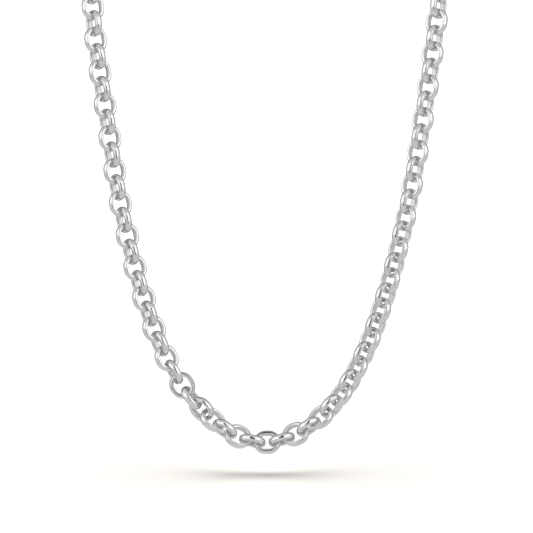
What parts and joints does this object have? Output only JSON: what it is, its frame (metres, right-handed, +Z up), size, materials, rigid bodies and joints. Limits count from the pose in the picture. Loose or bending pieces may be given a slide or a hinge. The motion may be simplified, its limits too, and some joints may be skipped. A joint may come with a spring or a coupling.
{
  "type": "rolo chain necklace",
  "caption": "Necklace of round-ended oval rolo links in polished silver, hanging as a long U and closed at the nape by a plain clasp between two round rings.",
  "frame": {"origin": "on the skin at the nape of the neck, level with the clasp: the place where the necklace sits", "axes": "+Z up; the front of the necklace hangs at -Y and faces -Y; +X is the wearer's left, on the right in a view from the front"},
  "size_m": [0.0976, 0.0561, 0.1649],
  "materials": {
    "chain_silver": "polished sterling silver with fine handling marks",
    "clasp_silver": "polished sterling silver, softly brushed by wear"
  },
  "bodies": {
    "root": {"chain_left": "chain_silver", "chain_right": "chain_silver", "clasp_ring": "clasp_silver", "clasp": "clasp_silver", "end_ring": "clasp_silver"}
  },
  "joints": []
}
